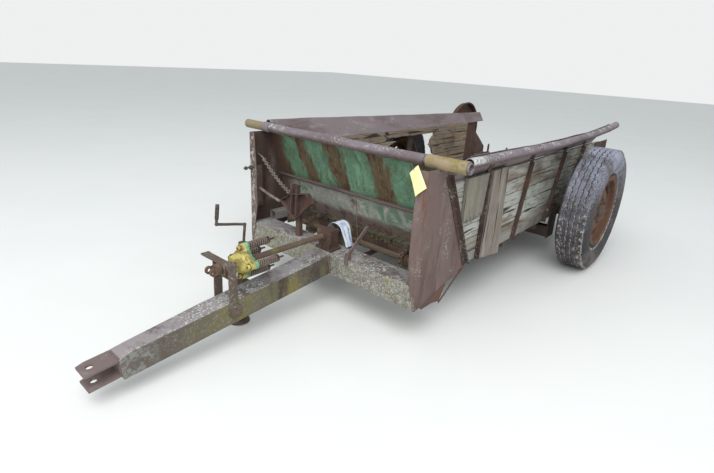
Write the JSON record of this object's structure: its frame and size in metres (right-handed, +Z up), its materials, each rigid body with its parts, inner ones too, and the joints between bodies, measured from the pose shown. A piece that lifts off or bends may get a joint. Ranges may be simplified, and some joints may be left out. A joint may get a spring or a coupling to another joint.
{
  "type": "manure spreader",
  "caption": "Old two-wheeled farm manure spreader with wooden sides, floor chains, rear beater, shaft drive with slip clutch, and a tongue parked on its jack.",
  "frame": {"origin": "centre of the bounding box in plan, on the ground the wheels stand on", "axes": "+Z up, -Y towards the hitch (front), +X towards the machine's left side"},
  "size_m": [2.316, 5.094, 1.136],
  "materials": {
    "mossy_steel": "weathered, lichen",
    "brown_rust": "rusted",
    "mauve_rust": "rusted smooth",
    "orange_rust": "rusted",
    "dark_steel": "rusted, dark",
    "green_paint": "faded, streaked",
    "clutch_green": "faded",
    "clutch_yellow": "faded paint",
    "khaki_pipe": "mossy",
    "board_wood": "weathered, peeling",
    "plank_wood": "weathered",
    "floor_wood": "damp, weathered",
    "tyre_rubber": "worn, cracked",
    "shaft_steel": "rusted"
  },
  "bodies": {
    "chassis": {"tongue": "mossy_steel", "hitch_plates": "mauve_rust", "front_beam": "mossy_steel", "sills": "mossy_steel", "cross_members": "brown_rust", "axle": "dark_steel", "front_panel": "green_paint", "panel_rib": "mauve_rust", "front_pipe": "khaki_pipe", "pipe_sleeves": "khaki_pipe", "side_pipes": "khaki_pipe", "gussets": "mauve_rust", "corner_angles": "brown_rust", "side_boards": "board_wood", "flare_sheets": "brown_rust", "stakes": "dark_steel", "patch_planks": "plank_wood", "rear_plates": "brown_rust", "floor_boards": "floor_wood", "apron_chains": "shaft_steel", "apron_slats": "orange_rust", "apron_shafts": "shaft_steel", "shaft_bearings": "brown_rust", "drive_guard": "brown_rust", "gear_cases": "shaft_steel", "shaft_stand": "dark_steel", "jack_tube": "dark_steel", "jack_crank": "dark_steel", "feed_tray": "orange_rust", "control_lever": "brown_rust", "sill_end": "orange_rust"},
    "wheel_left": {"tyre_left": "tyre_rubber", "rim_left": "orange_rust", "hub_left": "dark_steel"},
    "wheel_right": {"tyre_right": "tyre_rubber", "rim_right": "orange_rust", "hub_right": "dark_steel"},
    "beater": {"beater": "orange_rust"},
    "line_shaft": {"line_shaft": "shaft_steel"},
    "input_shaft": {"input_shaft": "shaft_steel", "clutch_housing": "clutch_yellow", "clutch_plate": "clutch_green", "clutch_springs": "dark_steel"},
    "jack_leg": {"jack_leg": "dark_steel"}
  },
  "joints": [
    {"name": "wheel_left_spin", "type": "hinge", "parent": "chassis", "child": "wheel_left", "pos_m": [1.033, 1.024, 0.498], "axis": [1, 0, 0], "continuous": true},
    {"name": "wheel_right_spin", "type": "hinge", "parent": "chassis", "child": "wheel_right", "pos_m": [-1.033, 1.024, 0.498], "axis": [1, 0, 0], "continuous": true},
    {"name": "beater_spin", "type": "hinge", "parent": "chassis", "child": "beater", "pos_m": [0, 2.295, 0.517], "axis": [1, 0, 0], "continuous": true},
    {"name": "line_shaft_spin", "type": "hinge", "parent": "chassis", "child": "line_shaft", "pos_m": [0, 0.545, 0.21], "axis": [0, 1, 0], "continuous": true},
    {"name": "input_shaft_spin", "type": "hinge", "parent": "chassis", "child": "input_shaft", "pos_m": [0, -1.455, 0.468], "axis": [0, 1, 0], "continuous": true},
    {"name": "jack_leg_slide", "type": "slide", "parent": "chassis", "child": "jack_leg", "axis": [0, 0.1045, 0.9945], "range_m": [0, 0.19]}
  ],
  "couplings": [
    {"joint": "input_shaft_spin", "follows": "line_shaft_spin", "ratio": 1},
    {"joint": "beater_spin", "follows": "line_shaft_spin", "ratio": 0.6}
  ]
}
